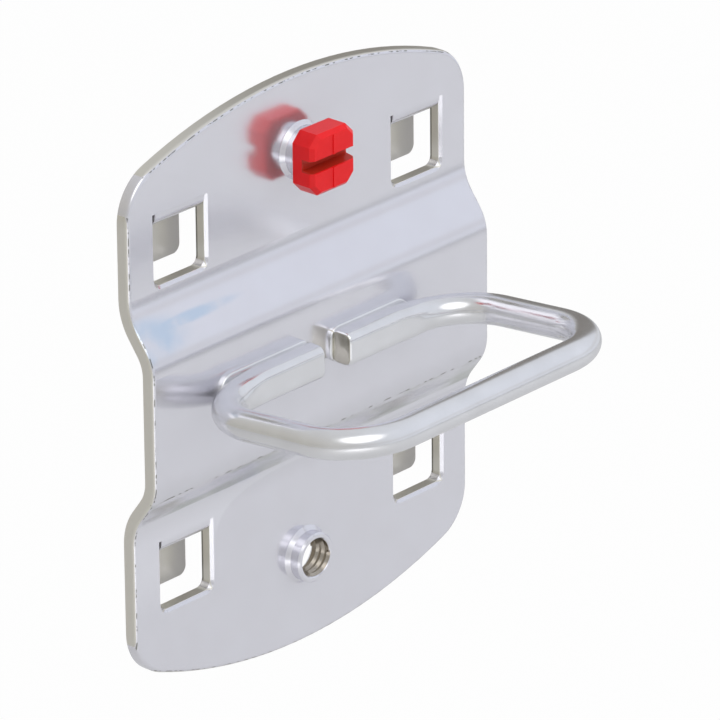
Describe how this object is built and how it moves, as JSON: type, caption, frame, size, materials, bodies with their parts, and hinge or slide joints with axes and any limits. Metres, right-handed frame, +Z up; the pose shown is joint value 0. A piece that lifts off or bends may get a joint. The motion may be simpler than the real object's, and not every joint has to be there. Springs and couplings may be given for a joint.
{
  "type": "pegboard hook",
  "caption": "Pegboard hook: pressed steel back plate with hooks for a square-hole panel, a welded wire loop for tools, and a slotted locking screw.",
  "frame": {"origin": "middle of the four hooks, on the back face of the plate's flanges", "axes": "+X to the right, -Y towards the user, +Z up"},
  "size_m": [0.0544, 0.0352, 0.0672],
  "materials": {
    "zinc_sheet": "bright zinc plating, satin",
    "zinc_wire": "bright zinc plating, glossy",
    "red_plastic": "moulded red plastic"
  },
  "bodies": {
    "plate": {"back_plate": "zinc_sheet", "wire_loop": "zinc_wire"},
    "screw": {"locking_screw": "red_plastic"}
  },
  "joints": [
    {"name": "screw_turn", "type": "hinge", "parent": "plate", "child": "screw", "pos_m": [0, -0.0033, 0.024], "axis": [0, -1, 0], "range_deg": [0, 1350]}
  ]
}
